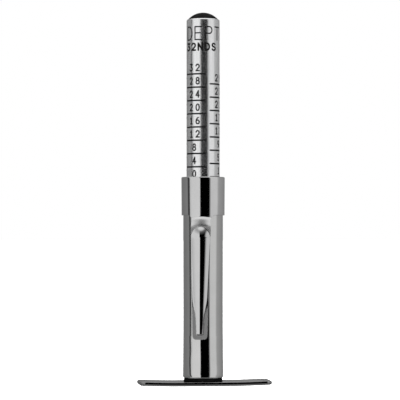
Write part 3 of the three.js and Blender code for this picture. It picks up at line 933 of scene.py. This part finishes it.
class Print:
    """Collects raised ink strokes on the tube. Places are (arc length, height) in millimetres."""

    SIDES = 8

    def __init__(self):
        self.points, self.faces = [], []

    def stroke(self, path, width):
        """One round-ended stroke, flat like a film of ink."""
        path = fine_steps(path)
        ahead = np.gradient(path, axis=0)
        ahead /= np.linalg.norm(ahead, axis=1)[:, None]
        closed = len(path) > 3 and np.allclose(path[0], path[-1])
        if closed:
            seam = ahead[0] + ahead[-1]
            ahead[0] = ahead[-1] = seam / np.linalg.norm(seam)
        half = width / 2
        stations = [(p, t, half) for p, t in zip(path, ahead)]
        if not closed:
            ends = [(half * math.cos(a), half * math.sin(a)) for a in np.radians([8, 30, 60])]
            first = [(path[0] - ahead[0] * back, ahead[0], size) for back, size in ends]
            last = [(path[-1] + ahead[-1] * on, ahead[-1], size) for on, size in reversed(ends)]
            stations = first + stations + last
        self.sweep(stations)

    def sweep(self, stations):
        start = len(self.points)
        for place, tangent, half in stations:
            side = np.array([tangent[1], -tangent[0]])
            for k in range(self.SIDES):
                angle = 2 * math.pi * (k + 0.5) / self.SIDES
                across, along_height = place + side * half * math.cos(angle)
                rise = INK_RISE * math.sin(angle) / math.sin(3 * math.pi / self.SIDES)
                self.points.append(self.wrapped(across, along_height, rise))
        rings = len(stations)
        self.faces += [tuple(start + i for i in f) for f in grid_faces(rings, self.SIDES)]
        self.faces.append(tuple(start + k for k in reversed(range(self.SIDES))))
        self.faces.append(tuple(start + (rings - 1) * self.SIDES + k for k in range(self.SIDES)))

    def wrapped(self, across, height, rise):
        angle = across / TUBE_RADIUS
        radius = TUBE_RADIUS + rise
        return (radius * math.sin(angle), -radius * math.cos(angle), height)

    def character(self, sign, centre, baseline, width, height, stroke):
        """One character, its middle at an angle in degrees from -Y."""
        middle = math.radians(centre) * TUBE_RADIUS
        for path in glyphs()[sign]:
            placed = [(middle + (x - 0.5) * width, baseline + y * height) for x, y in path]
            for run in smooth_runs(placed):
                self.stroke(run, stroke)

    def word(self, text, first, pitch, baseline, width, height, stroke):
        for k, sign in enumerate(text):
            if sign != " ":
                self.character(sign, first + k * pitch, baseline, width, height, stroke)

    def scale(self):
        """Thirty-seconds of an inch from 0 to 32, dealt out over four columns."""
        for n in range(SCALE_LINES + 1):
            turn = COLUMN_TURNS[n % 4]
            height = SCALE_ZERO + n * SCALE_PITCH
            ends = np.radians(np.linspace(turn - LINE_HALF_ARC, turn + LINE_HALF_ARC, 17)) * TUBE_RADIUS
            self.stroke([(x, height) for x in ends], LINE_WIDTH)
            label = str(n)
            first = turn + LABEL_SHIFT - DIGIT_PITCH * (len(label) - 1) / 2
            baseline = height + LABEL_RISE
            self.word(label, first, DIGIT_PITCH, baseline, DIGIT_WIDTH, DIGIT_HEIGHT, DIGIT_STROKE)


def printed_scale(material):
    ink = Print()
    ink.scale()
    for line in WORDS:
        ink.word(*line)
    piece = make_object("printed_scale", ink.points, ink.faces, material)
    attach(piece, "plunger")


# ---------- studio ----------

CAMERA_TURN = math.radians(7)  # from -Y towards -X
CAMERA_DISTANCE = 494.0
CAMERA_HEIGHT = 36.3
CAMERA_AIM = 44.5  # height at the gauge's axis
CAMERA_SHIFT = 0.74  # towards the left of the picture
CAMERA_LENS = 184.9
FLOOR = -30.0  # leaves room for the probe at full depth
FLOOR_HALF = 20000.0
FLOOR_GLOW = 0.9  # keeps the floor as pale as the background
LAMP_HEIGHT = 1600.0
LAMP_SIZE = 1.6  # metres
LAMP_POWER = 60  # watts
PANELS_TRUE = 1.0  # elevation in degrees where the panels' angles hold; below it they close in
GAP_SLANT = 0.9  # above it, the gap shifts to the left by so many degrees per degree
SLANT_REACH = 6.0  # degrees above and below, beyond which both stay as they are


def camera():
    data = bpy.data.cameras.new("camera")
    data.lens = CAMERA_LENS
    data.sensor_width = 36
    data.clip_start = 0.01
    piece = bpy.data.objects.new("camera", data)
    bpy.context.scene.collection.objects.link(piece)
    bpy.context.scene.camera = piece
    back = Vector((-math.sin(CAMERA_TURN), -math.cos(CAMERA_TURN), 0))
    left = Vector((-math.cos(CAMERA_TURN), math.sin(CAMERA_TURN), 0))
    target = left * CAMERA_SHIFT + Vector((0, 0, CAMERA_AIM))
    piece.location = (left * CAMERA_SHIFT + back * CAMERA_DISTANCE + Vector((0, 0, CAMERA_HEIGHT))) * MM
    piece.rotation_euler = (target * MM - piece.location).to_track_quat("-Z", "Y").to_euler()


class WorldNodes:
    """Short calls for the world's node tree."""

    def __init__(self):
        world = bpy.data.worlds.new("studio")
        bpy.context.scene.world = world
        world.use_nodes = True
        self.nodes = world.node_tree.nodes
        self.links = world.node_tree.links
        self.nodes.clear()
        self.direction = self.nodes.new("ShaderNodeTexCoord").outputs["Generated"]

    def dot(self, vector):
        node = self.nodes.new("ShaderNodeVectorMath")
        node.operation = "DOT_PRODUCT"
        node.inputs[1].default_value = vector
        self.links.new(self.direction, node.inputs[0])
        return node.outputs["Value"]

    def maths(self, operation, *terms):
        node = self.nodes.new("ShaderNodeMath")
        node.operation = operation
        for socket, value in zip(node.inputs, terms):
            if isinstance(value, (int, float)):
                socket.default_value = value
            else:
                self.links.new(value, socket)
        return node.outputs["Value"]

    def ramp(self, degrees, low, high, stops):
        """Maps an angle in radians through (degrees, radiance) stops."""
        share = self.nodes.new("ShaderNodeMapRange")
        share.inputs["From Min"].default_value = math.radians(low)
        share.inputs["From Max"].default_value = math.radians(high)
        ramp = self.nodes.new("ShaderNodeValToRGB")
        set_stops(ramp, [((angle - low) / (high - low), tone) for angle, tone in stops])
        self.links.new(degrees, share.inputs["Value"])
        self.links.new(share.outputs["Result"], ramp.inputs["Fac"])
        return ramp.outputs["Color"]

    def mix(self, share, a, b):
        node = self.nodes.new("ShaderNodeMix")
        node.data_type = "RGBA"
        for socket, value in ((node.inputs["Factor"], share), (node.inputs[6], a), (node.inputs[7], b)):
            if isinstance(value, tuple):
                socket.default_value = value
            else:
                self.links.new(value, socket)
        return node.outputs[2]


def studio_world():
    """Two soft panels with a dark gap between them, grey walls and a bright ceiling.
    Angles run from the camera's direction towards the right of the picture."""
    world = WorldNodes()
    towards = (-math.sin(CAMERA_TURN), -math.cos(CAMERA_TURN), 0)
    right = (math.cos(CAMERA_TURN), -math.sin(CAMERA_TURN), 0)
    elevation = world.maths("ARCSINE", world.dot((0, 0, 1)))
    azimuth = world.maths("ARCTAN2", world.dot(right), world.dot(towards))
    below = world.maths("SUBTRACT", math.radians(PANELS_TRUE), elevation)
    below = world.maths("MINIMUM", below, math.radians(SLANT_REACH))
    below = world.maths("MAXIMUM", below, math.radians(-SLANT_REACH))
    squared = world.maths("MULTIPLY", azimuth, world.maths("ABSOLUTE", azimuth))
    closer = world.maths("MULTIPLY", squared, world.maths("MAXIMUM", below, 0))
    leftwards = world.maths("MAXIMUM", world.maths("MULTIPLY", below, -GAP_SLANT), 0)
    azimuth = world.maths("ADD", world.maths("ADD", azimuth, closer), leftwards)
    walls = world.ramp(azimuth, -180, 180, [
        (-180, 0.23), (-130, 0.23), (-94, 0.28), (-91, 0.23), (-89, 0.06), (-78, 0.05), (-75, 0.7),
        (-62, 0.82), (-17, 0.85), (-14.5, 0.0), (34, 0.0), (43, 0.72), (80, 0.74), (93, 0.42),
        (140, 0.32), (180, 0.24),
    ])
    heights = world.ramp(elevation, -90, 90, [
        (-90, 0.28), (-60, 0.2), (-30, 0.1), (-15, 0.1), (15, 0.12), (37, 0.22), (43, 0.9), (90, 1.0),
    ])
    level = world.ramp(elevation, -90, 90, [(-28, 0.0), (-16, 1.0), (22, 1.0), (44, 0.0)])
    studio = world.mix(level, heights, walls)
    seen = world.nodes.new("ShaderNodeLightPath").outputs["Is Camera Ray"]
    colour = world.mix(seen, studio, (1.0, 1.0, 1.0, 1.0))
    background = world.nodes.new("ShaderNodeBackground")
    output = world.nodes.new("ShaderNodeOutputWorld")
    world.links.new(colour, background.inputs["Color"])
    world.links.new(background.outputs["Background"], output.inputs["Surface"])


def floor():
    shader = Shader("pale_floor", 0.0, 0.9)
    shader.colour(shader.ramp(shader.noise(30), [(0.3, 0.86), (0.7, 0.9)]))
    shader.surface.inputs["Emission Color"].default_value = (1, 1, 1, 1)
    shader.surface.inputs["Emission Strength"].default_value = FLOOR_GLOW
    corners = [(x * FLOOR_HALF, y * FLOOR_HALF, FLOOR) for x, y in ((-1, -1), (1, -1), (1, 1), (-1, 1))]
    piece = make_object("floor", corners, [(0, 1, 2, 3)], shader.material)
    piece.visible_glossy = False


def overhead_light():
    data = bpy.data.lights.new("overhead", "AREA")
    data.shape = "DISK"
    data.size = LAMP_SIZE
    data.energy = LAMP_POWER
    piece = bpy.data.objects.new("overhead", data)
    piece.location = (0, 0, LAMP_HEIGHT * MM)
    piece.visible_glossy = False
    piece.visible_camera = False
    bpy.context.scene.collection.objects.link(piece)


def studio():
    studio_world()
    floor()
    overhead_light()
    camera()
    bpy.context.scene.view_settings.view_transform = "Standard"


# ---------- assembly ----------

PLASTIC = black_plastic()
BRASS = turned_metal("turned_brass", (0.50, 0.33, 0.12), (0.66, 0.46, 0.19), 0.3)

# The foot's end edges are satin, and are painted darker by this factor as painted shade.
foot_bar(dulled_chrome("chrome_foot", "satin_shade_ends", 0.55))
neck_washer(PLASTIC)
base_plug(BRASS)
barrel(barrel_chrome())
mouth_bush(white_nylon())
# The clip's satin places are painted slightly darker by this factor, as painted shade.
clip(dulled_chrome("chrome_clip", "satin", 0.95))
scale_tube(satin_aluminium())
end_button(PLASTIC)
piston(BRASS)
probe_pin(turned_metal("ground_steel", (0.5, 0.5, 0.51), (0.62, 0.62, 0.63), 0.22))
friction_ring(rubber())
printed_scale(printing_ink())
studio()
